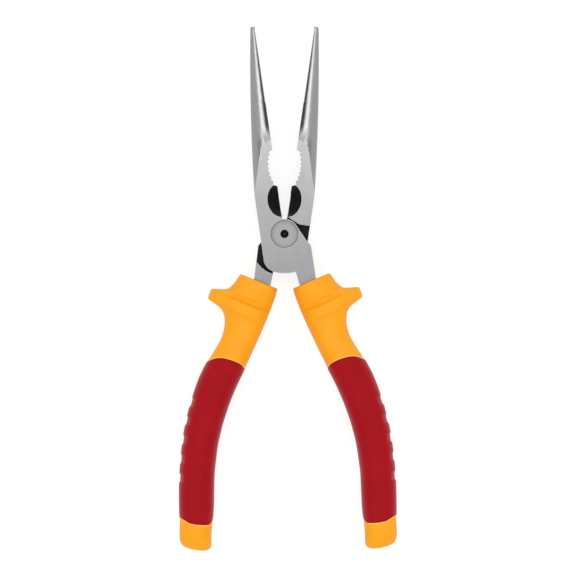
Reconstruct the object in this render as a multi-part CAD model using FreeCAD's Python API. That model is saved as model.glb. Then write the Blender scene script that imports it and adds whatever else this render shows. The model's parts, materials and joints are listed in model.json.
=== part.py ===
import FreeCAD, Part
import math
import os

from FreeCAD import Vector

# Insulated long-nose combination pliers, 200 mm size, lying flat on a bench with the jaws along +Y.
# Two drop-forged levers cross in a lap joint and turn on one flush rivet.  Each lever is a half-round
# nose, a toothed pipe grip, a side cutter, a half-thickness joint plate and a buried tang.  A hard
# insulating sleeve with a finger guard is moulded on each tang, and a soft grip fills the sleeve's
# long recess.  Lengths are millimetres and angles are degrees.
#
# One lever is drawn closed, about the pivot: jaw on -X, tang on +X, joint plate on the +Z side.
# The back lever is the same forging turned over about its long axis.

# ---- driving dimensions ----
nose_reach = 80.4            # pivot to jaw tip
head_thickness = 10.5        # across the ground joint faces
head_half_width = 9.3        # pivot axis to the outer flank of the head
jaw_face_gap = 0.06          # closing plane to each gripping face
lap_clearance = 0.05         # between the two joint plates
rest_opening = 16.3          # angle between the jaws as drawn
tang_splay = 0.7             # the front tang is set out by this and the back tang is set in by it
rest_height = 9.0            # joint plane above the bench, half the thickness over the grips
pivot_x = -1.25              # pivot from the middle of the footprint
pivot_y = 21.0

# ---- nose ----
tip_width = 1.75
tip_half_depth = 1.5
blend_end = 43.5             # the relief beside the gripping face fills out from here down
flat_end = 36.3              # the ground flat faces run up to here
flat_start = 16.3            # and reach the outer flank here
ridge_share = 0.36           # crown of the nose from the gripping face, as a share of its width

# ---- joint plate ----
shoulder_radius = 5.7        # top of the plate, turns under the other jaw
plate_flank_distance = 5.6   # pivot to the slanting flank beside the rivet
plate_flank_angle = 25.7     # slant of that flank from the long axis
heel_radius = 15.1           # round heel of the plate, turns inside the other tang
step_radius = 15.3           # step of the tang around the heel
step_relief_centre = (1.05, -5.6)
step_relief_radius = 10.3    # the step falls away from the heel towards its inner end
tang_outer_x = 9.4
tang_inner_x = 2.85
tang_stations = (            # centre line of the tang and its half width, from the collar to its end
    (8.3, -27.0, 3.2),
    (11.1, -38.0, 3.0),
    (15.2, -51.0, 2.9),
    (19.4, -66.0, 2.8),
    (21.6, -84.0, 2.6),
    (21.0, -101.0, 2.3),
)

# ---- teeth and cutter ----
serration_pitch = 0.78
serration_depth = 0.34
serration_start = 51.0
pipe_grip_centre = (13.3, 25.85)
pipe_tip_radius = 15.6
pipe_tooth_depth = 0.72
pipe_tooth_step = 6.5        # angle from tooth to tooth
pipe_grip_top = 32.9
pipe_grip_bottom = 18.55
cutter_centre_y = 13.0
cutter_half_length = 6.5
cutter_bevel_width = 4.65

# ---- rivet ----
rivet_shank_radius = 3.6
rivet_head_radius = 5.2
rivet_head_depth = 1.8
rivet_running_clearance = 0.04
rivet_edge_break = 0.14
rivet_dimple_radius = 1.55
rivet_dimple_depth = 1.2

# ---- sleeve and soft grip ----
soft_wall = 1.9              # how deep the soft grip is let into the sleeve
soft_proud = 0.2             # the soft grip stands this much above the sleeve
section_power = 2.6          # squareness of the rounded sections
guard_half_depth = 9.0
guard_edge_radius = 1.2
recess_ys = (-68.65, -76.0, -83.35, -90.7, -98.05)
recess_length = 3.7
recess_depth = 0.5

half = head_thickness / 2.0


def v(x, y, z=0.0):
    return Vector(x, y, z)


def line(a, b):
    return Part.LineSegment(a, b).toShape()


def arc(a, middle, b):
    return Part.Arc(a, middle, b).toShape()


def spline(points):
    curve = Part.BSplineCurve()
    curve.interpolate(points)
    return curve.toShape()


def on_circle(radius, angle):
    """The point at that angle, clockwise from +Y about the pivot."""
    turn = math.radians(angle)
    return v(radius * math.sin(turn), radius * math.cos(turn))


def polar(centre, radius, angle):
    """The point at that angle above -X about a centre."""
    turn = math.radians(angle)
    return v(centre[0] - radius * math.cos(turn), centre[1] + radius * math.sin(turn))


def prism(edges, low, high):
    """A closed outline in XY, extruded from z = low to z = high."""
    face = Part.Face(Part.Wire(edges))
    face.translate(v(0, 0, low))
    return face.extrude(v(0, 0, high - low))


def polygon(points):
    """The straight edges of a closed polygon."""
    loop = list(points) + [points[0]]
    return [line(a, b) for a, b in zip(loop, loop[1:])]


def rounded_section(y, low_x, high_x, depth, low_power, high_power, count=20):
    """A closed smooth section square to Y: a superellipse whose two sides may differ in squareness."""
    middle = (low_x + high_x) / 2
    reach = (high_x - low_x) / 2
    points = []
    for i in range(count):
        turn = 2 * math.pi * i / count
        c = math.cos(turn)
        s = math.sin(turn)
        power = high_power if c > 0 else low_power
        across = math.copysign(abs(c) ** (2.0 / power), c) * reach
        up = math.copysign(abs(s) ** (2.0 / power), s) * depth
        points.append(v(middle + across, y, up))
    curve = Part.BSplineCurve()
    curve.interpolate(points, PeriodicFlag=True)
    return Part.Wire(curve.toShape())


def turned(shape, angle):
    """A copy turned about the pivot."""
    copy = shape.copy()
    copy.rotate(v(0, 0, 0), v(0, 0, 1), angle)
    return copy


# ---------------------------------------------------------------- levers
def nose_width(y):
    drop = nose_reach - y
    return tip_width + 0.157 * drop - 0.0006 * drop ** 2


def nose_half_depth(y):
    """Tapers to the tip; where the ground flats begin it rises past them, so they cut an ogive."""
    if y >= flat_end:
        return half + (tip_half_depth - half) * (y - flat_end) / (nose_reach - flat_end)
    down = (flat_end - y) / (flat_end - flat_start + 0.3)
    return half / math.sqrt(1 - down ** 1.24)


def nose_inner_power(y):
    """Squareness beside the gripping face: a sloping relief along the nose, filling out to the flats."""
    blend = min(max((blend_end - y) / (blend_end - flat_end), 0.0), 1.0)
    return 2.0 + 6.0 * blend * blend


def steps(first, last, count):
    """Evenly spaced values after first, up to last."""
    return [first + (last - first) * (i + 1) / count for i in range(count)]


def nose_envelope():
    """The half-round nose as a ruled loft of many sections."""
    ys = [nose_reach] + steps(nose_reach, blend_end, 9) + steps(blend_end, flat_end, 5)
    ys += steps(flat_end, flat_start, 11)
    sections = []
    for y in ys:
        width = nose_width(y)
        inner = width * (1 - 2 * ridge_share)
        sections.append(rounded_section(y, -width, inner, nose_half_depth(y), 2.0, nose_inner_power(y)))
    return Part.makeLoft(sections, True, True)


def splayed(x, y, splay):
    """A point of the tang, turned about the pivot by the splay."""
    turn = math.radians(splay)
    return v(x * math.cos(turn) - y * math.sin(turn), x * math.sin(turn) + y * math.cos(turn))


def tang_sides(splay):
    """Points on the tang's outer and inner edges, square to its centre line."""
    path = [(splayed(x, y, splay), half_width) for x, y, half_width in tang_stations]
    outer = []
    inner = []
    for i, (point, half_width) in enumerate(path):
        run = path[min(i + 1, len(path) - 1)][0] - path[max(i - 1, 0)][0]
        run.normalize()
        side = v(-run.y, run.x)
        outer.append(point + side * half_width)
        inner.append(point - side * half_width)
    return outer, inner


def lever_outline(splay):
    """The forging from the front.  The nose is left wide here, for its envelope to trim."""
    face_x = -jaw_face_gap
    flank = math.radians(plate_flank_angle)
    flank_top = 90.0 - plate_flank_angle - math.degrees(math.acos(plate_flank_distance / shoulder_radius))
    shoulder_start = v(face_x, math.sqrt(shoulder_radius ** 2 - face_x ** 2))
    shoulder_end = on_circle(shoulder_radius, flank_top)
    flank_foot = shoulder_end + v(math.sin(flank), -math.cos(flank)) * 7.85
    flank_corner = v(tang_outer_x, -5.8)
    tang_top = splayed(tang_outer_x - 0.1, -18.5, splay)
    tang_heel = splayed(tang_inner_x, -21.5, splay)
    heel_end = v(2.2, -math.sqrt(heel_radius ** 2 - 2.2 ** 2))
    heel_start = on_circle(heel_radius, 200.0)
    heel_corner = v(-head_half_width, -9.7)
    wide_foot = v(-head_half_width, flat_start - 1.0)
    wide_side = v(-head_half_width - 0.6, flat_start + 4.0)
    wide_tip = v(-head_half_width, nose_reach)
    outer, inner = tang_sides(splay)
    end_cap = (outer[-1] + inner[-1]) * 0.5 + v(-0.3, -2.2)
    return [
        line(v(face_x, nose_reach), shoulder_start),
        arc(shoulder_start, on_circle(shoulder_radius, flank_top / 2), shoulder_end),
        line(shoulder_end, flank_foot),
        line(flank_foot, flank_corner),
        line(flank_corner, tang_top),
        spline([tang_top] + outer),
        arc(outer[-1], end_cap, inner[-1]),
        spline(inner[::-1] + [tang_heel]),
        line(tang_heel, heel_end),
        arc(heel_end, on_circle(heel_radius, 190.0), heel_start),
        arc(heel_start, v(-8.1, -12.2), heel_corner),
        line(heel_corner, wide_foot),
        line(wide_foot, wide_side),
        line(wide_side, wide_tip),
        line(wide_tip, v(face_x, nose_reach)),
    ]


def side_profile():
    """The forging from the side: flat over the head, thinning along the tang."""
    upper = [v(0, nose_reach + 1, half), v(0, -18.5, half), v(0, -30.0, 4.3), v(0, -110.0, 2.6)]
    loop = upper + [v(0, p.y, -p.z) for p in reversed(upper)]
    body = Part.Face(Part.Wire(polygon(loop))).extrude(v(80.0, 0, 0))
    body.translate(v(-30.0, 0, 0))
    return body


def joint_recess():
    """What the other lever's plate needs: behind the lap and inside the step, below the jaw."""
    jaw_foot = polygon([
        v(20, 30), v(-0.3, 30), v(-0.3, 6.5), v(-1.7, 5.95), v(-5.1, 4.5), v(-20, 4.5), v(-20, 40), v(20, 40),
    ])
    keep = prism(jaw_foot, -3 * half, 3 * half)
    height = 2 * half + lap_clearance / 2
    disc = Part.makeCylinder(step_radius, height, v(0, 0, -2 * half))
    relief = Part.makeCylinder(step_relief_radius, height, v(*step_relief_centre, -2 * half))
    return disc.fuse(relief).removeSplitter().cut(keep)


def serration():
    """Cross-cut notches on the gripping face, from the first one to the tip."""
    face_x = -jaw_face_gap
    count = int((nose_reach - serration_start) / serration_pitch)
    notches = []
    for i in range(count):
        y = serration_start + serration_pitch * i
        notches.append(prism(polygon([
            v(1.0, y), v(face_x, y), v(face_x - serration_depth, y + serration_pitch / 2),
            v(face_x, y + serration_pitch), v(1.0, y + serration_pitch),
        ]), -half, half))
    return notches[0].multiFuse(notches[1:]).removeSplitter()


def pipe_grip():
    """The toothed hollow: V notches fanned about the centre of its round back."""
    outline = [v(5.0, pipe_grip_bottom), v(0.0, pipe_grip_bottom), v(-1.6, pipe_grip_bottom + 0.65)]
    for i in range(-7, 8):
        radius = pipe_tip_radius + (pipe_tooth_depth if i % 2 else 0.0)
        outline.append(polar(pipe_grip_centre, radius, i * pipe_tooth_step / 2))
    outline += [v(-0.3, pipe_grip_top), v(5.0, pipe_grip_top)]
    return prism(polygon(outline), -half - 1, half + 1)


def cutter_bevel():
    """One ground bevel: no width at the mid-plane, a half ellipse at the ground face."""
    wires = []
    top = half + 1.0
    for z, width in ((0.0, 0.02), (top, cutter_bevel_width * top / half)):
        points = []
        for i in range(13):
            turn = math.pi * i / 12 - math.pi / 2
            points.append(v(-width * math.cos(turn) - jaw_face_gap,
                            cutter_centre_y + cutter_half_length * math.sin(turn), z))
        wires.append(Part.Wire([spline(points), line(points[-1], points[0])]))
    return Part.makeLoft(wires, True, True)


def rivet_hole(clearance):
    """Shank bore and head counterbore, with the head's edge broken."""
    radius = rivet_head_radius + clearance
    bore = Part.makeCylinder(rivet_shank_radius + clearance, 4 * half, v(0, 0, -2 * half))
    head = Part.makeCylinder(radius, half, v(0, 0, half - rivet_head_depth - clearance))
    edge = Part.makeCone(radius, radius + 2 * rivet_edge_break, 2 * rivet_edge_break,
                         v(0, 0, half - rivet_edge_break))
    return bore.fuse([head, edge])


def make_lever(splay, clearance):
    body = prism(lever_outline(splay), -half - 1, half + 1).common(side_profile())
    span = 4 * nose_reach
    ahead = Part.makeBox(span, span, span, v(-span / 2, flat_start, -span / 2))
    nose = body.common(ahead).common(nose_envelope())
    body = body.cut(ahead).fuse(nose).removeSplitter()
    bevel = cutter_bevel()
    tools = [joint_recess(), serration(), pipe_grip(), bevel, bevel.mirror(v(0, 0, 0), v(0, 0, 1)),
             rivet_hole(clearance)]
    for tool in tools:
        body = body.cut(tool)
    return body


def make_rivet():
    rivet = Part.makeCylinder(rivet_shank_radius, head_thickness, v(0, 0, -half))
    straight = rivet_head_depth - rivet_edge_break
    for turn in (0, 180):
        head = Part.makeCylinder(rivet_head_radius, straight, v(0, 0, half - rivet_head_depth))
        edge = Part.makeCone(rivet_head_radius, rivet_head_radius - rivet_edge_break, rivet_edge_break,
                             v(0, 0, half - rivet_edge_break))
        dimple = Part.makeCone(0.6, rivet_dimple_radius, rivet_dimple_depth, v(0, 0, half - rivet_dimple_depth))
        for piece in (head, edge, dimple):
            piece.rotate(v(0, 0, 0), v(0, 1, 0), turn)
        rivet = rivet.fuse([head, edge]).cut(dimple)
    return rivet.removeSplitter()


# ---------------------------------------------------------------- sleeve and soft grip
sleeve_stations = (  # y, inner edge, outer edge, half depth
    (-12.0, -0.9, 12.2, 7.0),
    (-17.4, -0.2, 14.8, 7.3),
    (-19.6, 0.05, 16.0, 7.4),
    (-21.8, 0.3, 17.7, 7.5),
    (-23.6, 0.5, 19.7, 7.6),
    (-26.0, 0.8, 21.2, 7.7),
    (-30.0, 1.6, 20.7, 7.9),
    (-33.4, 2.5, 19.3, 8.0),
    (-38.0, 3.8, 18.3, 8.0),
    (-45.0, 5.8, 19.8, 8.1),
    (-52.0, 8.1, 22.8, 8.4),
    (-60.0, 10.6, 25.5, 8.7),
    (-70.0, 13.2, 27.1, 8.8),
    (-81.5, 14.9, 28.3, 8.8),
    (-93.0, 15.0, 28.1, 8.75),
    (-104.6, 13.8, 27.0, 8.5),
    (-115.0, 13.0, 25.5, 8.1),
    (-121.0, 12.6, 24.6, 7.4),
    (-123.5, 13.3, 23.4, 5.8),
    (-124.6, 15.4, 20.8, 3.2),
)


def grip_skin(growth):
    """The handle's outer skin, grown or shrunk all round."""
    sections = []
    for y, inner, outer, depth in sleeve_stations:
        sections.append(rounded_section(
            y, inner - growth, outer + growth, depth + growth, section_power, section_power))
    return Part.makeLoft(sections, True, False)


def sleeve_outer_x(y):
    """The outer edge of the handle between two stations."""
    for (y0, _, x0, _), (y1, _, x1, _) in zip(sleeve_stations, sleeve_stations[1:]):
        if y1 <= y <= y0:
            return x0 + (x1 - x0) * (y0 - y) / (y0 - y1)


def grip_zone():
    """The stretch of handle covered by the soft grip, bowed at both ends."""
    top_outer = v(26.6, -55.2)
    top_inner = v(5.4, -55.6)
    end_outer = v(29.0, -110.9)
    end_inner = v(9.0, -110.2)
    edges = [
        arc(top_inner, v(15.8, -50.3), top_outer),
        line(top_outer, v(40, -62)),
        line(v(40, -62), v(40, -105)),
        line(v(40, -105), end_outer),
        arc(end_outer, v(18.7, -114.9), end_inner),
        line(end_inner, v(-6, -105)),
        line(v(-6, -105), v(-6, -62)),
        line(v(-6, -62), top_inner),
    ]
    return prism(edges, -20, 20)


def guard():
    """The finger guard: a band across the handle that swells into a wing on the outer side."""
    band_top = [v(1.3, -29.9), v(12.3, -27.1), v(17.4, -25.4), v(20.6, -24.0), v(23.8, -23.9)]
    band_foot = [v(25.1, -28.8), v(21.6, -30.8), v(14.3, -32.3), v(2.75, -34.7)]
    outline = [
        spline(band_top),
        arc(band_top[-1], v(25.9, -26.3), band_foot[0]),
        spline(band_foot),
        line(band_foot[-1], band_top[0]),
    ]
    body = prism(outline, -guard_half_depth, guard_half_depth)
    rims = [e for e in body.Edges
            if abs(abs(e.CenterOfMass.z) - guard_half_depth) < 0.01 and not isinstance(e.Curve, Part.Line)]
    return body.makeFillet(guard_edge_radius, rims)


def make_sleeve(lever, splay):
    body = grip_skin(0.0).fuse(guard())
    above_collar = polygon([v(-20, -26.34), v(40, -10.93), v(40, 10), v(-20, 10)])
    body = body.cut(prism(above_collar, -20, 20))
    body = body.cut(grip_zone().cut(grip_skin(-soft_wall)))
    return turned(body, splay).cut(lever)


def make_soft_grip(splay):
    body = grip_skin(soft_proud).common(grip_zone()).cut(grip_skin(-soft_wall))
    radius = (recess_length ** 2 / 4 + recess_depth ** 2) / (2 * recess_depth)
    for y in recess_ys:
        edge = sleeve_outer_x(y) + soft_proud
        body = body.cut(Part.makeCylinder(radius, 40, v(edge + radius - recess_depth, y, -20)))
    return turned(body, splay)


# ---------------------------------------------------------------- assembly
def placed(shape, turned_over):
    """From the closed drawing to the bench: open by half the rest opening, at the pivot's place."""
    copy = shape.copy()
    angle = rest_opening / 2
    if turned_over:
        copy.rotate(v(0, 0, 0), v(0, 1, 0), 180)
        angle = -angle
    copy.rotate(v(0, 0, 0), v(0, 0, 1), angle)
    copy.translate(v(pivot_x, pivot_y, rest_height))
    return copy


def write(name, shape):
    solid = shape.Solids[0] if len(shape.Solids) == 1 else shape
    solid.exportStep("parts/" + name + ".step")
    print(name, "solids", len(shape.Solids), "valid", shape.isValid(), "volume", round(shape.Volume, 1))


def main():
    os.makedirs("parts", exist_ok=True)
    for name, splay, clearance, turned_over in (
            ("front", tang_splay, rivet_running_clearance, False),
            ("back", -tang_splay, 0.0, True)):
        lever = make_lever(splay, clearance)
        write(name + "_lever", placed(lever, turned_over))
        write(name + "_insulating_sleeve", placed(make_sleeve(lever, splay), turned_over))
        write(name + "_soft_grip", placed(make_soft_grip(splay), turned_over))
    write("pivot_rivet", placed(make_rivet(), True))


main()
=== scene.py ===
import json
import math

import bmesh
import bpy
import numpy as np
from mathutils import Matrix, Vector


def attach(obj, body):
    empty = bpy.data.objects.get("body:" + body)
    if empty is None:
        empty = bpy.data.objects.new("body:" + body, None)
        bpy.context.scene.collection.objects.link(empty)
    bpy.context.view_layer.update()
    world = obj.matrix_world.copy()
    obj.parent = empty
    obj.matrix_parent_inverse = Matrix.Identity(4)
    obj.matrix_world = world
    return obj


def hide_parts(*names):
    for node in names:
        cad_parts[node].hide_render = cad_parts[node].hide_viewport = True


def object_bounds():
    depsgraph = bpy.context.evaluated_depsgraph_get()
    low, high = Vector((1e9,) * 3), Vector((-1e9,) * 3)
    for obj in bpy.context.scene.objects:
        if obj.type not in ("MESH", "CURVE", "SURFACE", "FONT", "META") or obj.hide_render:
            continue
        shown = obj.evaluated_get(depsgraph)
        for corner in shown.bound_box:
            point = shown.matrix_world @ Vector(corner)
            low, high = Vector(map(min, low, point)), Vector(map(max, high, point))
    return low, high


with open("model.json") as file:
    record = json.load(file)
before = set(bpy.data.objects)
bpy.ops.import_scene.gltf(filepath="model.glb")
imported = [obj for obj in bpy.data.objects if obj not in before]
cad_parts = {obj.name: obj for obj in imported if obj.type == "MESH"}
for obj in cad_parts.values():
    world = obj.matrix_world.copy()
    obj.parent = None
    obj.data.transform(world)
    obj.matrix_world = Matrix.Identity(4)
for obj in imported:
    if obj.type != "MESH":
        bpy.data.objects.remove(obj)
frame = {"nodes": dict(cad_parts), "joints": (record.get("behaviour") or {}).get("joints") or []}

# Insulated long-nose pliers, lying flat and part open.  The steel forgings, the rivet, the yellow sleeves
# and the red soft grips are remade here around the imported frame.  Outlines are in millimetres, drawn for
# one closed half with the pivot at zero, and are turned into place by placeHalf.

mm = 0.001
cadLow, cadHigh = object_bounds()
pivot = Vector(frame["joints"][0]["pos_m"])
stance = {"jawHalfAngle": 8.15, "handleSplay": 0.7}
sides = ("front", "back")
bodyOf = {"front": "front_half", "back": "back_half"}
noiseSpan = (0.3, 0.7)  # most of a noise lies between these


def placeHalf(side, splay=0.0):
    # from the closed drawing in metres to the row frame
    if side == "front":
        turn = stance["jawHalfAngle"] + splay
        return Matrix.Translation(pivot) @ Matrix.Rotation(math.radians(turn), 4, "Z")
    turn = -stance["jawHalfAngle"] + splay
    flip = Matrix.Rotation(math.pi, 4, "Y")
    return Matrix.Translation(pivot) @ Matrix.Rotation(math.radians(turn), 4, "Z") @ flip


def curveThrough(points):
    # smooth curve through (at, value) pairs that never swings past them
    pairs = sorted(points)
    at = np.array([p[0] for p in pairs], float)
    value = np.array([p[1] for p in pairs], float)
    gap = np.diff(at)
    rise = np.diff(value) / gap
    slope = np.zeros(len(at))
    for i in range(1, len(at) - 1):
        if rise[i - 1] * rise[i] > 0:
            before = 2 * gap[i] + gap[i - 1]
            after = gap[i] + 2 * gap[i - 1]
            slope[i] = (before + after) / (before / rise[i - 1] + after / rise[i])
    slope[0], slope[-1] = rise[0], rise[-1]

    def read(where):
        where = np.clip(np.asarray(where, float), at[0], at[-1])
        i = np.clip(np.searchsorted(at, where) - 1, 0, len(gap) - 1)
        t = (where - at[i]) / gap[i]
        near = value[i] * (1 + 2 * t) * (1 - t) ** 2 + gap[i] * slope[i] * t * (1 - t) ** 2
        far = value[i + 1] * t * t * (3 - 2 * t) + gap[i] * slope[i + 1] * t * t * (t - 1)
        return near + far

    return read


def easeStep(start, end, where):
    # smooth step from 0 at start to 1 at end
    t = np.clip((where - start) / (end - start), 0, 1)
    return t * t * (3 - 2 * t)


def hexToLinear(text):
    channels = [int(text[i:i + 2], 16) / 255 for i in (1, 3, 5)]
    return [c / 12.92 if c <= 0.04045 else ((c + 0.055) / 1.055) ** 2.4 for c in channels] + [1.0]


def addNode(tree, kind, settings=None, inputs=None, stops=()):
    # adds a node with its settings, its input values or links, and the stops of a colour ramp
    node = tree.nodes.new(kind)
    for name, value in (settings or {}).items():
        setattr(node, name, value)
    for key, value in (inputs or {}).items():
        if isinstance(value, bpy.types.NodeSocket):
            tree.links.new(value, node.inputs[key])
        else:
            node.inputs[key].default_value = value
    for i, (place, colour) in enumerate(stops):
        stop = node.color_ramp.elements[i] if i < 2 else node.color_ramp.elements.new(place)
        stop.position = place
        stop.color = hexToLinear(colour)
    return node


def sizeToScale(millimetres):
    # pattern scale for a real size
    return 1 / (millimetres * mm)


def newMaterial(name):
    material = bpy.data.materials.new(name)
    material.use_nodes = True
    tree = material.node_tree
    return material, tree, tree.nodes["Principled BSDF"]


def ringFaces(rows, around, closed=False):
    # four-sided faces between rows of points
    last = rows if closed else rows - 1
    return [(k * around + i, k * around + (i + 1) % around,
             ((k + 1) % rows) * around + (i + 1) % around, ((k + 1) % rows) * around + i)
            for k in range(last) for i in range(around)]


def newPiece(name, vertices, faces, matrix, materials, smoothAngle=30.0, paintedSeamLine=None):
    mesh = bpy.data.meshes.new(name)
    mesh.from_pydata([matrix @ Vector(v) for v in vertices], [], faces)
    if paintedSeamLine is not None:
        mesh.attributes.new("paintedSeamLine", "FLOAT", "POINT").data.foreach_set("value", paintedSeamLine)
    piece = bpy.data.objects.new(name, mesh)
    bpy.context.scene.collection.objects.link(piece)
    for material in materials:
        mesh.materials.append(material)
    work = bmesh.new()
    work.from_mesh(mesh)
    bmesh.ops.recalc_face_normals(work, faces=work.faces)
    work.to_mesh(mesh)
    work.free()
    mesh.shade_smooth()
    mesh.set_sharp_from_angle(angle=math.radians(smoothAngle))
    return piece


view = {"distance": 2.0, "frameWidth": 0.2212, "centre": (0.00134, -0.02074), "sensor": 36.0}
camera = bpy.data.objects.new("camera", bpy.data.cameras.new("camera"))
camera.data.sensor_width = view["sensor"]
camera.data.lens = view["sensor"] * view["distance"] / view["frameWidth"]
camera.location = pivot + Vector((view["centre"][0], view["centre"][1], view["distance"]))
bpy.context.scene.collection.objects.link(camera)
bpy.context.scene.camera = camera
bpy.context.scene.view_settings.view_transform = "Standard"

studio = {
    "tent": 0.74,
    "floorGlow": 0.78, "floorSize": 5.0, "floorGap": 0.02,  # size in metres, gap below the pliers in mm
    "floorTones": ("#959493", "#9a9998"), "pulp": 16.667,  # size of the paper's clouds in mm
}
world = bpy.data.worlds.new("studioTent")
bpy.context.scene.world = world
world.use_nodes = True
world.node_tree.nodes["Background"].inputs["Color"].default_value = (1, 1, 1, 1)
world.node_tree.nodes["Background"].inputs["Strength"].default_value = studio["tent"]

softboxes = {  # place, size and power in watts of each softbox, all aimed at the pliers
    "wideSoftbox": {"at": (0.0, 0.0, 1.35), "size": (1.2, 1.2), "power": 3.2},
    "keySoftbox": {"at": (0.0, 0.0, 1.3), "size": (0.42, 1.0), "power": 2.7},
}
for name, box in softboxes.items():
    lamp = bpy.data.lights.new(name, "AREA")
    lamp.shape = "RECTANGLE"
    lamp.size, lamp.size_y = box["size"]
    lamp.energy = box["power"]
    holder = bpy.data.objects.new(name, lamp)
    holder.location = box["at"]
    holder.rotation_euler = (-Vector(box["at"])).to_track_quat("-Z", "Y").to_euler()
    holder.visible_camera = False
    bpy.context.scene.collection.objects.link(holder)


def makeFloor():
    # matt translucent paper over a light box: it reads as white, with a faint pulp mottle
    material, tree, shader = newMaterial("backlitMattPaper")
    place = addNode(tree, "ShaderNodeTexCoord").outputs["Object"]
    pulp = addNode(tree, "ShaderNodeTexNoise", {}, {
        "Vector": place, "Scale": sizeToScale(studio["pulp"]), "Detail": 3.0}).outputs["Fac"]
    tone = addNode(tree, "ShaderNodeValToRGB", {}, {"Fac": pulp}, zip((0.0, 1.0), studio["floorTones"]))
    tree.links.new(tone.outputs["Color"], shader.inputs["Base Color"])
    shader.inputs["Roughness"].default_value = 0.9
    shader.inputs["Specular IOR Level"].default_value = 0.2
    shader.inputs["Emission Color"].default_value = (1, 1, 1, 1)
    shader.inputs["Emission Strength"].default_value = studio["floorGlow"]  # the light box under it
    half = studio["floorSize"] / 2
    level = cadLow.z - studio["floorGap"] * mm
    corners = [(-half, -half, level), (half, -half, level), (half, half, level), (-half, half, level)]
    floor = newPiece("floor", corners, [(0, 1, 2, 3)], Matrix.Identity(4), [material])
    floor.visible_glossy = False  # keeps the steel from mirroring the paper


makeFloor()
print("camera, floor and light")


def grindingLines(tree, width):
    # streaks along the tool; real ones are 0.02 mm wide, and these are drawn coarser so that they show
    drawn = addNode(tree, "ShaderNodeAttribute", {"attribute_name": "drawn"}).outputs["Vector"]
    stretched = addNode(tree, "ShaderNodeMapping", {}, {
        "Vector": drawn, "Scale": (1.0, 0.06, 1.0)}).outputs["Vector"]
    lines = addNode(tree, "ShaderNodeTexNoise", {}, {
        "Vector": stretched, "Scale": sizeToScale(width), "Detail": 5.0, "Roughness": 0.65}).outputs["Fac"]
    return drawn, lines


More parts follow.
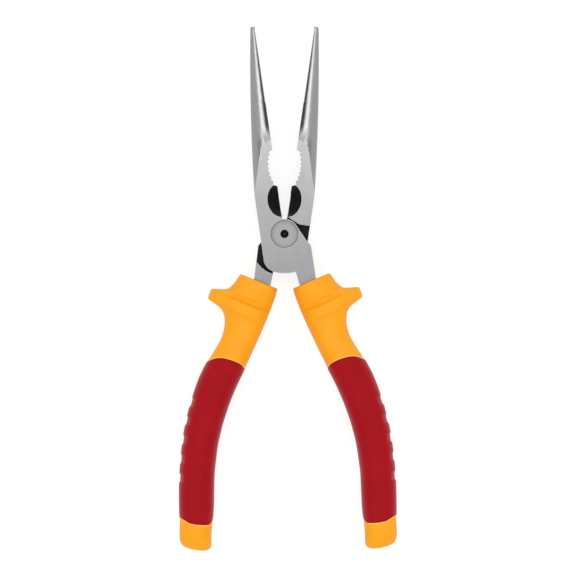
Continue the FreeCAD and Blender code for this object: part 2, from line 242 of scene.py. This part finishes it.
def leverSteel():
    # one forging, three finishes: surface-ground faces, pale and softly glossy, with a painted reflection
    # darker at the tang;
    # belt-polished nose with a bright streak on its crown, dimmed by painted shade on the shoulder round the
    # ogive; and a rougher relief beside the gripping face, painted darker as painted shade
    settings = {
        "lineWidth": 0.4167, "cloud": 3.846,
        # the ground tones are a painted reflection, darker at the tang and lighter at the nose
        "behind": "#8c8b8e", "middle": "#9e9d9f", "ahead": "#b5b3b2",  # the ground faces, from tang to nose
        "toneSpan": (-22.0, 36.0), "toneTop": 0.9, "mottle": (-0.05, 0.07),
        # the two darker nose tones are painted shade: on the relief beside the gripping face, and on the
        # shoulder round the ogive
        "bright": "#b5b4b6", "paintedShade": "#525153", "shoulder": "#8b8a8c",  # the nose
        "streaks": ("#eaeaea", "#ffffff"),
        "groundRough": (0.44, 0.54), "noseRough": (0.29, 0.37), "dullRough": 0.42,
        # the ground faces end in an ogive, in mm
        "ogiveTip": 36.4, "ogiveLength": 20.4, "ogiveHalfWidth": 9.2, "ogivePower": 0.434,
        "ogiveEdge": (-0.05, 0.05), "noseStart": (14.5, 15.5),
        "noseEnd": 80.4, "noseEndWidth": 1.75, "noseTaper": 0.157, "noseSwell": 0.0006,
        # where each tone of the nose fades: as a share of its width, and along it in mm
        "paintedShadeAcross": (0.15, 0.25), "paintedShadeAlong": (36.2, 42.5),
        "tipAcross": (0.3, 0.46), "tipAlong": (36.5, 42.5),
        "flankAcross": (0.6, 0.8), "flankAlong": (34.5, 39.0), "flankStrength": 0.85,
    }
    material, tree, shader = newMaterial("groundAndPolishedForging")
    drawn, lines = grindingLines(tree, settings["lineWidth"])
    inMm = addNode(tree, "ShaderNodeVectorMath", {"operation": "SCALE"}, {"Vector": drawn, "Scale": 1 / mm})
    place = addNode(tree, "ShaderNodeSeparateXYZ", {}, {"Vector": inMm.outputs[0]})
    cloud = addNode(tree, "ShaderNodeTexNoise", {}, {
        "Vector": drawn, "Scale": sizeToScale(settings["cloud"]), "Detail": 3.0}).outputs["Fac"]
    value = {"x": place.outputs["X"], "y": place.outputs["Y"], "lines": lines, "cloud": cloud}
    recipe = [  # name, operation and what goes in; LINEAR and SMOOTHSTEP turn one range into another
        # edge of the ground faces: an ogive that starts on the flank and closes at the gripping face
        ("away", "ABSOLUTE", "x"),
        ("room", "SUBTRACT", settings["ogiveTip"], "y"),
        ("room", "DIVIDE", "room", settings["ogiveLength"]),
        ("room", "MAXIMUM", "room", 0.0),
        ("ogive", "POWER", "room", settings["ogivePower"]),
        ("ogive", "MULTIPLY", "ogive", settings["ogiveHalfWidth"]),
        ("outside", "SUBTRACT", "away", "ogive"),
        ("outside", "LINEAR", "outside", *settings["ogiveEdge"], 0.0, 1.0),
        ("ahead", "LINEAR", "y", *settings["noseStart"], 0.0, 1.0),
        ("polished", "MULTIPLY", "outside", "ahead"),
        # width of the nose at each place, and the share of it at which a point lies
        ("drop", "SUBTRACT", settings["noseEnd"], "y"),
        ("width", "MULTIPLY", "drop", settings["noseSwell"]),
        ("width", "SUBTRACT", settings["noseTaper"], "width"),
        ("width", "MULTIPLY", "drop", "width"),
        ("width", "ADD", settings["noseEndWidth"], "width"),
        ("share", "DIVIDE", "away", "width"),
        ("waver", "LINEAR", "lines", *noiseSpan, -0.02, 0.02),
        ("share", "ADD", "share", "waver"),
        # the painted shade lies beside the gripping face
        ("paintedShade", "SMOOTHSTEP", "share", *settings["paintedShadeAcross"], 1.0, 0.0),
        ("paintedShadeAhead", "SMOOTHSTEP", "y", *settings["paintedShadeAlong"], 0.0, 1.0),
        ("paintedShade", "MULTIPLY", "paintedShade", "paintedShadeAhead"),
        # painted shade dims the streak on the shoulder round the ogive and on the outer flank beside it
        ("tip", "SMOOTHSTEP", "share", *settings["tipAcross"], 1.0, 0.0),
        ("tipBehind", "SMOOTHSTEP", "y", *settings["tipAlong"], 1.0, 0.0),
        ("tip", "MULTIPLY", "tip", "tipBehind"),
        ("flank", "SMOOTHSTEP", "share", *settings["flankAcross"], settings["flankStrength"], 0.0),
        ("flankBehind", "SMOOTHSTEP", "y", *settings["flankAlong"], 1.0, 0.0),
        ("flank", "MULTIPLY", "flank", "flankBehind"),
        ("shoulder", "MAXIMUM", "tip", "flank"),
        # painted reflection along the ground faces: darker towards the tang, lighter towards the nose, with a
        # random mottle
        ("along", "LINEAR", "y", *settings["toneSpan"], 0.0, settings["toneTop"]),
        ("mottle", "LINEAR", "cloud", *noiseSpan, *settings["mottle"]),
        ("along", "ADD", "along", "mottle"),
        # roughness of each finish
        ("groundGloss", "LINEAR", "lines", *noiseSpan, *settings["groundRough"]),
        ("noseGloss", "LINEAR", "lines", *noiseSpan, *settings["noseRough"]),
        ("dull", "MAXIMUM", "paintedShade", "shoulder"),
        ("dull", "MULTIPLY", "dull", settings["dullRough"]),
        ("noseGloss", "MAXIMUM", "noseGloss", "dull"),
    ]
    for name, operation, *given in recipe:
        sources = {i: value.get(g, g) for i, g in enumerate(given)}
        if operation in ("LINEAR", "SMOOTHSTEP"):
            node = addNode(tree, "ShaderNodeMapRange", {"interpolation_type": operation}, sources)
        else:
            node = addNode(tree, "ShaderNodeMath", {"operation": operation}, sources)
        value[name] = node.outputs[0]
    ground = addNode(tree, "ShaderNodeValToRGB", {}, {"Fac": value["along"]}, [
        (0.0, settings["behind"]), (0.55, settings["middle"]), (1.0, settings["ahead"])])
    streak = addNode(tree, "ShaderNodeValToRGB", {}, {"Fac": lines}, zip(noiseSpan, settings["streaks"]))
    nose = hexToLinear(settings["bright"])
    # mixes the painted shade of the relief and of the shoulder into the nose colour
    for part in ("paintedShade", "shoulder"):
        nose = addNode(tree, "ShaderNodeMix", {"data_type": "RGBA"}, {
            0: value[part], 6: nose, 7: hexToLinear(settings[part])}).outputs[2]
    both = addNode(tree, "ShaderNodeMix", {"data_type": "RGBA"}, {
        0: value["polished"], 6: ground.outputs["Color"], 7: nose})
    base = addNode(tree, "ShaderNodeMix", {"data_type": "RGBA", "blend_type": "MULTIPLY"}, {
        0: 1.0, 6: both.outputs[2], 7: streak.outputs["Color"]})
    gloss = addNode(tree, "ShaderNodeMix", {"data_type": "FLOAT"}, {
        0: value["polished"], 2: value["groundGloss"], 3: value["noseGloss"]})
    bump = addNode(tree, "ShaderNodeBump", {}, {"Strength": 0.25, "Distance": 0.01 * mm, "Height": lines})
    tree.links.new(base.outputs[2], shader.inputs["Base Color"])
    tree.links.new(gloss.outputs[0], shader.inputs["Roughness"])
    tree.links.new(bump.outputs["Normal"], shader.inputs["Normal"])
    shader.inputs["Metallic"].default_value = 1.0
    return material


def edgeSteel():
    # broken edges of the forging, painted paler than the faces as a painted highlight, so that they show as
    # thin pale lines
    settings = {"lineWidth": 0.5556, "tones": ("#b4b3b3", "#c8c7c6"), "rough": (0.34, 0.44)}
    material, tree, shader = newMaterial("paintedHighlightEdgeSteel")
    lines = grindingLines(tree, settings["lineWidth"])[1]
    tone = addNode(tree, "ShaderNodeValToRGB", {}, {"Fac": lines}, zip(noiseSpan, settings["tones"]))
    gloss = addNode(tree, "ShaderNodeMapRange", {}, dict(enumerate((lines, *noiseSpan, *settings["rough"]))))
    tree.links.new(tone.outputs["Color"], shader.inputs["Base Color"])
    tree.links.new(gloss.outputs[0], shader.inputs["Roughness"])
    shader.inputs["Metallic"].default_value = 1.0
    return material


def turnedSteel():
    # rivet head faced on a lathe: rings about the pivot, 0.12 mm apart, coarser than real so that they show
    settings = {"pitch": 0.12, "tones": ("#868587", "#919092"), "rough": (0.42, 0.52)}
    material, tree, shader = newMaterial("turnedRivetSteel")
    place = addNode(tree, "ShaderNodeTexCoord").outputs["Object"]
    local = addNode(tree, "ShaderNodeMapping", {"vector_type": "TEXTURE"}, {
        "Vector": place, "Location": tuple(pivot)}).outputs["Vector"]
    # a wave of scale 1 has a ring every 0.314 units
    rings = addNode(tree, "ShaderNodeTexWave", {"wave_type": "RINGS", "rings_direction": "Z"}, {
        "Vector": local, "Scale": 0.314 / (settings["pitch"] * mm), "Distortion": 1.5, "Detail": 2.0,
        "Detail Scale": 1.0}).outputs["Fac"]
    tone = addNode(tree, "ShaderNodeValToRGB", {}, {"Fac": rings}, zip((0.0, 1.0), settings["tones"]))
    gloss = addNode(tree, "ShaderNodeMapRange", {}, dict(enumerate((rings, 0.0, 1.0, *settings["rough"]))))
    bump = addNode(tree, "ShaderNodeBump", {}, {"Strength": 0.2, "Distance": 0.004 * mm, "Height": rings})
    tree.links.new(tone.outputs["Color"], shader.inputs["Base Color"])
    tree.links.new(gloss.outputs[0], shader.inputs["Roughness"])
    tree.links.new(bump.outputs["Normal"], shader.inputs["Normal"])
    shader.inputs["Metallic"].default_value = 1.0
    return material


def blackOxide():
    # black oxide left by hot blackening: near black, faintly satin, cloudy
    settings = {"cloud": 1.4286, "tones": ("#111010", "#1b1a1a"), "rough": (0.5, 0.65), "specular": 0.15}
    material, tree, shader = newMaterial("blackOxideSteel")
    place = addNode(tree, "ShaderNodeTexCoord").outputs["Object"]
    cloud = addNode(tree, "ShaderNodeTexNoise", {}, {
        "Vector": place, "Scale": sizeToScale(settings["cloud"]), "Detail": 3.0}).outputs["Fac"]
    tone = addNode(tree, "ShaderNodeValToRGB", {}, {"Fac": cloud}, zip(noiseSpan, settings["tones"]))
    gloss = addNode(tree, "ShaderNodeMapRange", {}, dict(enumerate((cloud, *noiseSpan, *settings["rough"]))))
    bump = addNode(tree, "ShaderNodeBump", {}, {"Strength": 0.3, "Distance": 0.02 * mm, "Height": cloud})
    tree.links.new(tone.outputs["Color"], shader.inputs["Base Color"])
    tree.links.new(gloss.outputs[0], shader.inputs["Roughness"])
    tree.links.new(bump.outputs["Normal"], shader.inputs["Normal"])
    shader.inputs["Specular IOR Level"].default_value = settings["specular"]
    return material


def moulded(name, settings):
    # injection moulding: even colour, a painted line where the two plastics meet (painted shade on the red,
    # painted highlight on the yellow), and fine spark-eroded grain; the real grain is 0.05 mm, drawn coarser
    # so that it shows
    material, tree, shader = newMaterial(name)
    place = addNode(tree, "ShaderNodeTexCoord").outputs["Object"]
    cloud = addNode(tree, "ShaderNodeTexNoise", {}, {
        "Vector": place, "Scale": sizeToScale(settings["cloud"]), "Detail": 2.0}).outputs["Fac"]
    grain = addNode(tree, "ShaderNodeTexNoise", {}, {
        "Vector": place, "Scale": sizeToScale(settings["grain"]), "Detail": 2.0,
        "Roughness": 0.6}).outputs["Fac"]
    paintedSeamLine = addNode(tree, "ShaderNodeAttribute", {"attribute_name": "paintedSeamLine"}).outputs["Fac"]
    plain = addNode(tree, "ShaderNodeValToRGB", {}, {"Fac": cloud}, zip(noiseSpan, settings["tones"]))
    lined = addNode(tree, "ShaderNodeMix", {"data_type": "RGBA"}, {
        0: paintedSeamLine, 6: plain.outputs["Color"], 7: hexToLinear(settings["paintedSeamLine"])})
    gloss = addNode(tree, "ShaderNodeMapRange", {}, dict(enumerate((grain, *noiseSpan, *settings["rough"]))))
    bump = addNode(tree, "ShaderNodeBump", {}, {
        "Strength": 0.4, "Distance": settings["height"] * mm, "Height": grain})
    tree.links.new(lined.outputs[2], shader.inputs["Base Color"])
    tree.links.new(gloss.outputs[0], shader.inputs["Roughness"])
    tree.links.new(bump.outputs["Normal"], shader.inputs["Normal"])
    shader.inputs["Specular IOR Level"].default_value = settings["specular"]
    shader.inputs["Sheen Weight"].default_value = settings["sheen"]
    shader.inputs["Sheen Roughness"].default_value = 0.4
    return material


finish = {
    "steel": leverSteel(),
    "edge": edgeSteel(),
    "black": blackOxide(),
    "rivet": turnedSteel(),
    # the seam tones are painted: a paler line as painted highlight on the yellow, a darker line as painted
    # shade on the red
    "yellow": moulded("mouldedYellowPolypropylene", {
        "tones": ("#fba410", "#ffaa16"), "rough": (0.40, 0.5), "paintedSeamLine": "#ffb74e",
        "specular": 0.2, "sheen": 0.0, "grain": 1.1, "height": 0.02, "cloud": 9.091}),
    "red": moulded("overmouldedRedElastomer", {
        "tones": ("#a10d19", "#a80f1b"), "rough": (0.55, 0.65), "paintedSeamLine": "#8e0a08",
        "specular": 0.07, "sheen": 0.2, "grain": 0.9, "height": 0.03, "cloud": 9.091}),
}
print("materials")


lever = {
    "halfThickness": 5.25,
    "edgeRound": 0.09, "edgeAngle": 35,  # sharper edges than this, in degrees, are rounded
    "weld": 0.002, "flatAngle": 0.05,  # points and facets this close, in mm and degrees, are joined
    "shadeAngle": 32,
}
blackened = {
    "flatNormal": 0.985,  # a facet that faces this much up or down counts as flat
    "bevelCentre": (0.0, 13.0), "bevelReach": (4.95, 6.75),  # the oval the cutter bevels lie in
    "lapRadius": 16.2, "lapHeight": 1.0, "hubRadius": 4.0,
    "lowerStep": -9.0, "upperStep": (4.3, 7.0),  # where the walls of the lap are, along the tool
}


def isBlackened(centre, normal):
    # whether a facet of the closed, upright drawing is black: the cutter bevels, the lap and its steps
    x, y, z = centre
    flat = abs(normal.z) > blackened["flatNormal"]
    if flat and abs(z) > lever["halfThickness"] - 0.05:
        return False
    across, up = blackened["bevelReach"]
    inBevel = (x / across) ** 2 + ((y - blackened["bevelCentre"][1]) / up) ** 2 < 1
    if inBevel and x < -0.07 and 0.1 < abs(normal.z) < 0.98 and normal.x > 0.2:
        return True
    reach = math.hypot(x, y)
    if reach < blackened["lapRadius"] and abs(z) < blackened["lapHeight"] and flat:
        return True
    if abs(normal.z) < 0.1 and z < 0 and blackened["hubRadius"] < reach < blackened["lapRadius"]:
        low, high = blackened["upperStep"]
        return y < blackened["lowerStep"] and normal.y > 0 or low < y < high and normal.y < -0.5
    return False


def makeLever(side):
    node = frame["nodes"][side + "_lever"]
    toDrawing = placeHalf(side).inverted()
    turnOnly = toDrawing.to_3x3()
    work = bmesh.new()
    work.from_mesh(node.data)
    bmesh.ops.remove_doubles(work, verts=work.verts, dist=lever["weld"] * mm)
    bmesh.ops.dissolve_limit(work, angle_limit=math.radians(lever["flatAngle"]), verts=work.verts,
                             edges=work.edges, use_dissolve_boundaries=False)
    bmesh.ops.dissolve_degenerate(work, dist=0.001 * mm, edges=work.edges)
    for face in work.faces:
        centre = toDrawing @ face.calc_center_median() / mm
        face.material_index = 2 if isBlackened(centre, (turnOnly @ face.normal).normalized()) else 0
        face.smooth = True
    sharp = [e for e in work.edges if len(e.link_faces) == 2
             and e.calc_face_angle(0.0) > math.radians(lever["edgeAngle"])]
    corners = list({v for e in sharp for v in e.verts})
    bmesh.ops.bevel(work, geom=sharp + corners, offset=lever["edgeRound"] * mm, offset_type="OFFSET",
                    segments=2, profile=0.5, affect="EDGES", clamp_overlap=False, material=1)
    mesh = bpy.data.meshes.new(side + "LeverForging")
    for key in ("steel", "edge", "black"):
        mesh.materials.append(finish[key])
    work.to_mesh(mesh)
    work.free()
    for name in ("custom_normal", "sharp_edge", "sharp_face"):
        if name in mesh.attributes:
            mesh.attributes.remove(mesh.attributes[name])
    drawn = mesh.attributes.new("drawn", "FLOAT_VECTOR", "POINT")  # place in the closed drawing, in metres
    for i, vertex in enumerate(mesh.vertices):
        drawn.data[i].vector = toDrawing @ vertex.co
    piece = bpy.data.objects.new(side + "LeverForging", mesh)
    bpy.context.scene.collection.objects.link(piece)
    mesh.set_sharp_from_angle(angle=math.radians(lever["shadeAngle"]))
    weights = piece.modifiers.new("faceNormals", "WEIGHTED_NORMAL")
    weights.keep_sharp = True
    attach(piece, bodyOf[side])
    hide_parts(side + "_lever")


for side in sides:
    makeLever(side)
print("steel levers")


rivet = {
    "headRadius": 5.2, "headDepth": 1.8, "shankRadius": 3.6, "edgeBreak": 0.14,
    "crown": 0.01, "crownAt": 0.6,  # the face is very slightly domed, at this share of its radius
    "dimpleRadius": 1.55, "dimpleFloor": 0.6, "dimpleDepth": 1.2,
    "dimpleLip": [(-0.08, 0.16), (0.0, 0.05), (0.1, 0.0)],  # out from its radius, and down from the face
    "around": 128,
}


def makeRivet():
    # turned profile of one head, mirrored to the other face
    half = lever["halfThickness"]
    edge = rivet["edgeBreak"]
    face = [
        (0.0, half - rivet["dimpleDepth"]),
        (rivet["dimpleFloor"], half - rivet["dimpleDepth"]),
        *[(rivet["dimpleRadius"] + out, half - down) for out, down in rivet["dimpleLip"]],
        (rivet["headRadius"] * rivet["crownAt"], half + rivet["crown"]),
        (rivet["headRadius"] - edge, half),
        (rivet["headRadius"] - 0.3 * edge, half - 0.3 * edge),
        (rivet["headRadius"], half - edge),
        (rivet["headRadius"], half - rivet["headDepth"]),
        (rivet["shankRadius"], half - rivet["headDepth"]),
    ]
    profile = face + [(r, -h) for r, h in reversed(face)]
    count = rivet["around"]
    turns = [2 * math.pi * i / count for i in range(count)]
    vertices = [(r * math.cos(t) * mm, r * math.sin(t) * mm, h * mm) for r, h in profile for t in turns]
    faces = ringFaces(len(profile), count)
    piece = newPiece("pivotRivetTurned", vertices, faces, Matrix.Translation(pivot),
                     [finish["rivet"], finish["black"]], 25)
    work = bmesh.new()
    work.from_mesh(piece.data)
    bmesh.ops.remove_doubles(work, verts=work.verts, dist=0.001 * mm)
    for part in work.faces:
        middle = part.calc_center_median() - pivot
        part.material_index = 1 if math.hypot(middle.x, middle.y) < (rivet["dimpleRadius"] + 0.02) * mm else 0
    work.to_mesh(piece.data)
    work.free()
    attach(piece, "back_half")
    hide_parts("pivot_rivet")


makeRivet()
print("rivet")


handle = {
    "outer": [  # distance along the tool and the outer edge there
        (-14.0, 13.4), (-17.45, 14.85), (-19.1, 15.7), (-20.9, 16.55), (-22.0, 17.3), (-23.0, 18.15),
        (-23.6, 18.9), (-23.9, 19.7), (-24.1, 20.9), (-24.2, 22.2), (-24.3, 23.7), (-24.45, 24.75),
        (-24.75, 25.25), (-25.3, 25.45), (-26.5, 25.68), (-27.8, 25.93), (-28.3, 25.9), (-28.75, 25.4),
        (-29.65, 23.8), (-30.8, 21.5), (-32.0, 20.1), (-33.6, 19.15), (-35.4, 18.6), (-38.0, 18.3),
        (-41.3, 18.6), (-45.3, 19.85), (-49.5, 21.7), (-53.6, 23.5), (-59.7, 25.45), (-65.7, 26.7),
        (-73.6, 27.85), (-81.5, 28.4), (-87.0, 28.4), (-93.1, 28.15), (-100.7, 27.5), (-108.4, 26.5),
        (-115.9, 25.4), (-118.3, 25.2), (-120.4, 24.92), (-121.7, 24.6), (-122.7, 24.1), (-123.5, 23.35),
        (-124.05, 22.4), (-124.35, 21.2), (-124.6, 19.6), (-124.65, 18.8)],
    "inner": [  # and the inner edge
        (-14.0, -0.8), (-21.2, -0.05), (-23.0, 0.15), (-25.1, 0.5), (-29.1, 1.37), (-33.1, 2.37),
        (-37.2, 3.5), (-45.3, 5.9), (-53.4, 8.5), (-61.5, 11.1), (-69.6, 13.1), (-77.5, 14.4),
        (-85.4, 15.0), (-93.1, 14.9), (-100.8, 14.2), (-108.4, 13.4), (-116.1, 12.95), (-118.5, 12.78),
        (-120.6, 12.5), (-122.2, 12.33), (-123.1, 12.55), (-123.9, 13.15), (-124.3, 13.9), (-124.55, 15.0),
        (-124.65, 15.8)],
    "depth": [  # half the thickness there
        (-14.0, 7.1), (-22.0, 7.5), (-30.0, 7.9), (-38.0, 8.0), (-45.0, 8.1), (-52.0, 8.4), (-60.0, 8.7),
        (-70.0, 8.8), (-85.0, 8.8), (-93.0, 8.75), (-104.6, 8.5), (-115.0, 8.1), (-119.5, 7.8),
        (-122.0, 7.2), (-123.4, 6.3), (-124.3, 4.9), (-124.65, 3.4)],
    "top": -14.0, "butt": -124.65,
    "power": 2.6,  # 2 is an oval section, more is squarer
    "around": 112,
    "collarRound": 0.55,
}
band = {
    "raise": 0.9, "atWing": 0.35,  # height, and the share of it left at the wing
    "topFade": (-0.15, 1.3), "footFade": (-0.9, 0.9),  # beside the upper and the lower crease
    "valleyDepth": 0.75, "valleyAt": 0.6, "valleyWidth": 1.15,
    "wingFade": (22.0, 16.0),
}
guides = [  # lines across the handle: collar rim, both creases, both ends of the soft grip, the butt
    [(-5.0, -22.49), (30.0, -13.49)],
    [(-2.0, -30.6), (2.6, -29.75), (7.1, -28.9), (11.0, -27.95), (15.3, -26.7), (19.6, -25.6), (27.0, -24.9)],
    [(-2.0, -36.9), (4.5, -35.1), (7.9, -34.15), (13.0, -33.0), (16.7, -31.9), (21.0, -30.6), (27.0, -28.9)],
    [(3.0, -58.0), (7.9, -54.2), (8.8, -52.95), (10.2, -51.75), (12.2, -51.0), (14.5, -50.5), (17.0, -50.25),
     (18.6, -50.35), (20.6, -50.95), (22.7, -52.15), (24.0, -52.7), (27.0, -53.4)],
    [(11.0, -108.0), (12.95, -111.6), (13.35, -113.0), (14.1, -114.1), (16.0, -114.5), (19.2, -114.7),
     (21.2, -114.6), (22.7, -114.1), (23.9, -113.6), (25.9, -112.95), (30.0, -112.4)],
    [(0.0, -124.65), (30.0, -124.65)],
]
guideLines = [curveThrough(g) for g in guides]
outerEdge = curveThrough(handle["outer"])
innerEdge = curveThrough(handle["inner"])
halfDepth = curveThrough(handle["depth"])
turnAround = np.linspace(0, 2 * math.pi, handle["around"], endpoint=False)
roundCos = np.sign(np.cos(turnAround)) * np.abs(np.cos(turnAround)) ** (2 / handle["power"])
roundSin = np.sign(np.sin(turnAround)) * np.abs(np.sin(turnAround)) ** (2 / handle["power"])


def planAcross(y, inset):
    # where each point of the section at y lies across the handle
    outer, inner = outerEdge(y) - inset, innerEdge(y) + inset
    return (outer + inner) / 2 + roundCos * (outer - inner) / 2


def rowAlong(position, inset, shift=0.0):
    # the row that runs round the handle between two guides; position 1.5 is halfway from guide 1 to guide 2
    k = min(int(position), len(guideLines) - 2)
    share = position - k
    low = np.full(handle["around"], handle["butt"])
    high = np.full(handle["around"], handle["top"])
    for _ in range(34):  # bisection
        y = (low + high) / 2
        x = planAcross(y, inset)
        target = guideLines[k](x) * (1 - share) + guideLines[k + 1](x) * share + shift
        high = np.where(y > target, y, high)
        low = np.where(y > target, low, y)
    return y, planAcross(y, inset)


def bandHeight(x, y):
    # the raised guard band between its creases, with a valley above it
    fromTop = guideLines[1](x) - y
    fromFoot = y - guideLines[2](x)
    height = band["raise"] * easeStep(*band["topFade"], fromTop) * easeStep(*band["footFade"], fromFoot)
    valley = band["valleyDepth"] * np.exp(-((fromTop + band["valleyAt"]) / band["valleyWidth"]) ** 2)
    fade = easeStep(*band["wingFade"], x)
    return height * (band["atWing"] + (1 - band["atWing"]) * fade) - valley * fade


def rowPoints(position, inset, shift=0.0):
    y, x = rowAlong(position, inset, shift)
    z = roundSin * (halfDepth(y) - inset + bandHeight(x, y))
    return np.stack([x, y, z], axis=1)


def clustered(start, end, count, both=True):
    # values from start to end, closer together at both ends or only at the last
    t = np.linspace(0, 1, count)
    t = (1 - np.cos(math.pi * t)) / 2 if both else 1 - (1 - t) ** 1.8
    return start + (end - start) * t


grip = {
    "proud": 0.2,  # how far the soft grip stands off the sleeve
    "rim": 0.1, "rimLength": 0.45,  # its ends are tucked in by this much
    "lip": 0.1,  # the sleeve rises to meet them
    "wall": 1.2, "seat": 1.3,  # thickness of the soft grip, and depth of its seat in the sleeve
    "recesses": (-68.65, -76.0, -83.35, -90.7, -98.05), "recessLength": 3.9, "recessDepth": 0.43,
    "paintedSeamWidth": 0.75,
    "above": 18.0, "length": 62.0, "below": 10.0,  # lengths of handle above, along and below the soft grip
    "lipAbove": (2.96, 2.985), "lipBelow": (4.07, 4.03),  # positions where the lip rises
    "rowsAtEnds": 40, "rowsEven": 240, "rowsInside": 24,
}
sleeveRows = {"rim": 6, "collar": 22, "band": 24, "waist": 44, "seat": 20, "butt": 44}


def paintedSeamShare(fromSeam):
    # 1 at the line where the two plastics meet, falling to 0: where the painted seam line goes
    return float(easeStep(grip["paintedSeamWidth"], 0.4 * grip["paintedSeamWidth"], fromSeam))


def makeSleeve(side):
    radius = handle["collarRound"]
    around = handle["around"]
    rows = []  # points of each row, and how much of the painted seam line it has
    for bend in np.linspace(0, math.pi / 2, sleeveRows["rim"])[:-1]:
        rows.append((rowPoints(0.0, radius * (1 - math.sin(bend)), -radius * (1 - math.cos(bend))), 0.0))
    for position in clustered(0.0, 1.0, sleeveRows["collar"], False):
        rows.append((rowPoints(position, 0.0, -radius * (1 - position)), 0.0))
    for position in clustered(1.0, 2.0, sleeveRows["band"])[1:]:
        rows.append((rowPoints(position, 0.0), 0.0))
    for position in clustered(2.0, 3.0, sleeveRows["waist"], False)[1:]:
        raised = grip["lip"] * float(easeStep(*grip["lipAbove"], position))
        rows.append((rowPoints(position, -raised), paintedSeamShare((3.0 - position) * grip["above"])))
    for position in [3.002, *clustered(3.01, 3.99, sleeveRows["seat"]), 3.998]:  # sunk under the soft grip
        rows.append((rowPoints(position, grip["seat"]), 0.0))
    for position in clustered(4.0, 5.0, sleeveRows["butt"]):
        raised = grip["lip"] * float(easeStep(*grip["lipBelow"], position))
        rows.append((rowPoints(position, -raised), paintedSeamShare((position - 4.0) * grip["below"])))
    points = np.concatenate([row for row, _ in rows]) * mm
    faces = ringFaces(len(rows), around)
    faces.append(tuple(range(around)))
    faces.append(tuple(range((len(rows) - 1) * around, len(rows) * around)))
    matrix = placeHalf(side, stance["handleSplay"])
    piece = newPiece(side + "SleeveMoulding", points.tolist(), faces, matrix,
                     [finish["yellow"]], 50, np.repeat([share for _, share in rows], around))
    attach(piece, bodyOf[side])
    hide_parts(side + "_insulating_sleeve")


def gripRecess(y):
    # shallow scoops along the outer side
    depth = np.zeros_like(y)
    for middle in grip["recesses"]:
        away = np.abs(y - middle) / (grip["recessLength"] / 2)
        depth = np.maximum(depth, np.clip(1 - away ** 5, 0, 1) * grip["recessDepth"])
    return depth * easeStep(0.68, 0.93, roundCos)


def makeSoftGrip(side):
    around = handle["around"]
    rows = []
    places = [clustered(3.0, 4.0, grip["rowsAtEnds"]), np.linspace(3.0, 4.0, grip["rowsEven"])]
    places = np.unique(np.concatenate(places).round(6))
    for position in places:
        fromEnd = min(position - 3.0, 4.0 - position) * grip["length"]
        tuck = 1 - math.sqrt(max(0.0, 1 - (1 - min(fromEnd / grip["rimLength"], 1.0)) ** 2))
        inset = -grip["proud"] + (grip["proud"] + grip["rim"]) * tuck
        y, x = rowAlong(position, inset)
        row = np.stack([x - gripRecess(y), y, roundSin * (halfDepth(y) - inset)], axis=1)
        rows.append((row, paintedSeamShare(fromEnd)))
    for position in np.linspace(3.996, 3.004, grip["rowsInside"]):  # back along the inside
        y, x = rowAlong(position, grip["wall"])
        rows.append((np.stack([x, y, roundSin * (halfDepth(y) - grip["wall"])], axis=1), 0.0))
    points = np.concatenate([row for row, _ in rows]) * mm
    faces = ringFaces(len(rows), around, closed=True)
    matrix = placeHalf(side, stance["handleSplay"])
    piece = newPiece(side + "SoftGripMoulding", points.tolist(), faces, matrix,
                     [finish["red"]], 50, np.repeat([share for _, share in rows], around))
    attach(piece, bodyOf[side])
    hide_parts(side + "_soft_grip")


for side in sides:
    makeSleeve(side)
    makeSoftGrip(side)
print("handles")
